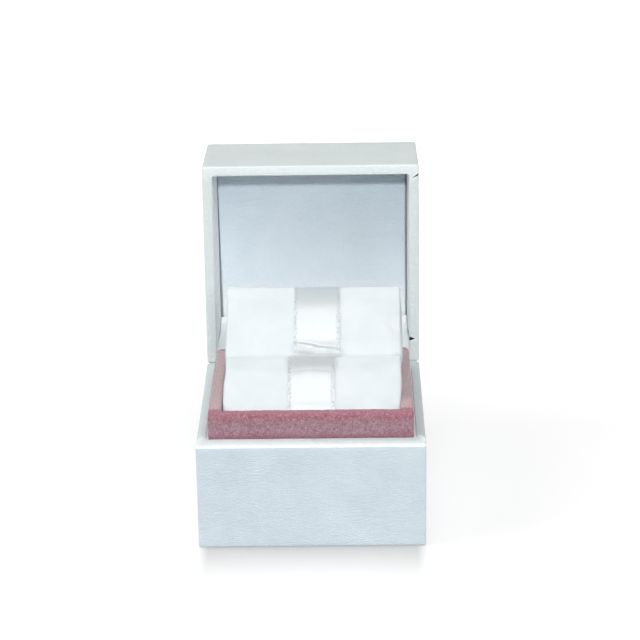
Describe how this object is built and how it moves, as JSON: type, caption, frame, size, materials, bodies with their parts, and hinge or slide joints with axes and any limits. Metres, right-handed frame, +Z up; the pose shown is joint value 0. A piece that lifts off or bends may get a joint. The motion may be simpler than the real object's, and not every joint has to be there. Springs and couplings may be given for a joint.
{
  "type": "ring display box",
  "caption": "Small hinged ring box standing open: wrapped board base and lid, pink velvet collar, sloping white pad with a slit and a satin ribbon.",
  "frame": {"origin": "centre of the base's underside, on the surface it stands on", "axes": "+Z up, -Y out of the front, +Y towards the hinge, +X to the right as seen from the front"},
  "size_m": [0.05, 0.0748, 0.072],
  "materials": {
    "wrap_paper": "white paper embossed with a fine leather grain, satin",
    "lining_paper": "white paper with a fine grain, matt",
    "greyboard": "plain grey board, matt",
    "kraft_tape": "plain gummed tape, matt",
    "pink_velvet": "dusty pink short-pile velvet",
    "foam": "open-cell foam",
    "white_velour": "white velour with a short soft nap",
    "satin_ribbon": "white satin with woven edges"
  },
  "bodies": {
    "base": {"base_bottom_sheet": "wrap_paper", "base_floor_board": "greyboard", "base_front_board": "greyboard", "base_rear_board": "greyboard", "base_left_board": "greyboard", "base_right_board": "greyboard", "base_corner_tapes": "kraft_tape", "base_wrap": "wrap_paper", "base_liner": "lining_paper", "collar_front_board": "greyboard", "collar_rear_board": "greyboard", "collar_left_board": "greyboard", "collar_right_board": "greyboard", "collar_velvet": "pink_velvet", "pad_card": "greyboard", "pad_front_foam": "foam", "pad_rear_foam": "foam", "pad_front_cover": "white_velour", "pad_rear_cover": "white_velour", "ribbon": "satin_ribbon", "hinge_cloth_lower": "kraft_tape", "hinge_stay": "lining_paper"},
    "lid": {"lid_top_board": "greyboard", "lid_front_board": "greyboard", "lid_rear_board": "greyboard", "lid_left_board": "greyboard", "lid_right_board": "greyboard", "lid_corner_tapes": "kraft_tape", "lid_wrap": "wrap_paper", "lid_side_lining": "lining_paper", "lid_panel_card": "greyboard", "lid_panel_paper": "lining_paper", "hinge_cloth_upper": "kraft_tape"}
  },
  "joints": [
    {"name": "lid_hinge", "type": "hinge", "parent": "base", "child": "lid", "pos_m": [0, 0.02375, 0.0246], "axis": [1, 0, 0], "range_deg": [0, 94], "deforming": ["hinge_stay"]}
  ]
}
